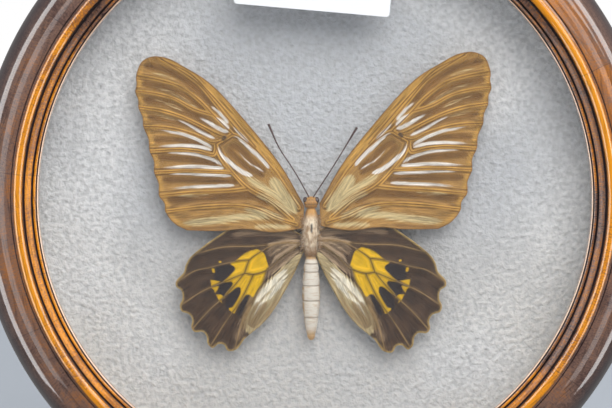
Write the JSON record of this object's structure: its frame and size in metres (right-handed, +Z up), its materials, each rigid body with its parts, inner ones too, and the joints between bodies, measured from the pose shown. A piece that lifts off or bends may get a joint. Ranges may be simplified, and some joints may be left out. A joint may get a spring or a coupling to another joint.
{
  "type": "butterfly display case",
  "caption": "Round glazed wall case with a turned, lacquered wooden ring frame, holding a spread butterfly on a pale backing, with a blank paper label and a ring hanger.",
  "frame": {"origin": "centre of the case's bounding box: on the axis of the ring, half way through its depth", "axes": "+Z up as it hangs, +X to the right seen from the front, +Y from the glass back to the wall"},
  "size_m": [0.26, 0.034, 0.26],
  "materials": {
    "frame_wood": "stained wood under thick high-gloss lacquer, the beads amber and the bands dark brown",
    "glass": "clear flat picture glass",
    "spacer_card": "plain white board, bent to a ring",
    "backing_card": "off-white card with a pebbled face",
    "hardboard": "brown hardboard, smooth face outside",
    "button_metal": "brass-plated pressed strip",
    "screw_steel": "zinc-plated screws",
    "hanger_steel": "nickel-plated pressed steel and wire",
    "label_paper": "white matte self-adhesive paper, blank",
    "thorax_hair": "short cream and tan hair",
    "head_hair": "short orange-brown hair",
    "eye": "dark and glossy",
    "abdomen_scales": "cream scales with fine cross lines",
    "pad_card": "plain white board",
    "wing": "thin scaled membrane, brown with pale bands along the veins",
    "antenna": "dark brown, slightly glossy",
    "leg": "dark brown"
  },
  "bodies": {
    "case": {"frame_segment_01": "frame_wood", "frame_segment_02": "frame_wood", "frame_segment_03": "frame_wood", "frame_segment_04": "frame_wood", "frame_segment_05": "frame_wood", "frame_segment_06": "frame_wood", "frame_segment_07": "frame_wood", "frame_segment_08": "frame_wood", "frame_segment_09": "frame_wood", "frame_segment_10": "frame_wood", "frame_segment_11": "frame_wood", "frame_segment_12": "frame_wood", "glass_disc": "glass", "spacer_ring": "spacer_card", "backing_board": "backing_card", "back_cover": "hardboard", "turn_button_screws": "screw_steel", "hanger_strap": "hanger_steel", "hanger_rivets": "hanger_steel", "paper_label": "label_paper", "thorax": "thorax_hair", "head": "head_hair", "eyes": "eye", "abdomen": "abdomen_scales", "mounting_pad": "pad_card", "forewing_left": "wing", "forewing_right": "wing", "hindwing_left": "wing", "hindwing_right": "wing", "antenna_left": "antenna", "antenna_right": "antenna", "legs": "leg"},
    "turn_button_1": {"turn_button_1": "button_metal"},
    "turn_button_2": {"turn_button_2": "button_metal"},
    "turn_button_3": {"turn_button_3": "button_metal"},
    "turn_button_4": {"turn_button_4": "button_metal"},
    "hanger_ring": {"hanger_ring": "hanger_steel"}
  },
  "joints": [
    {"name": "turn_button_1_pivot", "type": "hinge", "parent": "case", "child": "turn_button_1", "pos_m": [0.08291, 0.0127, 0.08291], "axis": [0, 1, 0], "range_deg": [-90, 90]},
    {"name": "turn_button_2_pivot", "type": "hinge", "parent": "case", "child": "turn_button_2", "pos_m": [-0.08291, 0.0127, 0.08291], "axis": [0, 1, 0], "range_deg": [-90, 90]},
    {"name": "turn_button_3_pivot", "type": "hinge", "parent": "case", "child": "turn_button_3", "pos_m": [-0.08291, 0.0127, -0.08291], "axis": [0, 1, 0], "range_deg": [-90, 90]},
    {"name": "turn_button_4_pivot", "type": "hinge", "parent": "case", "child": "turn_button_4", "pos_m": [0.08291, 0.0127, -0.08291], "axis": [0, 1, 0], "range_deg": [-90, 90]},
    {"name": "hanger_ring_swing", "type": "hinge", "parent": "case", "child": "hanger_ring", "pos_m": [0, 0.0147, 0.088], "axis": [1, 0, 0], "range_deg": [0, 180]}
  ]
}
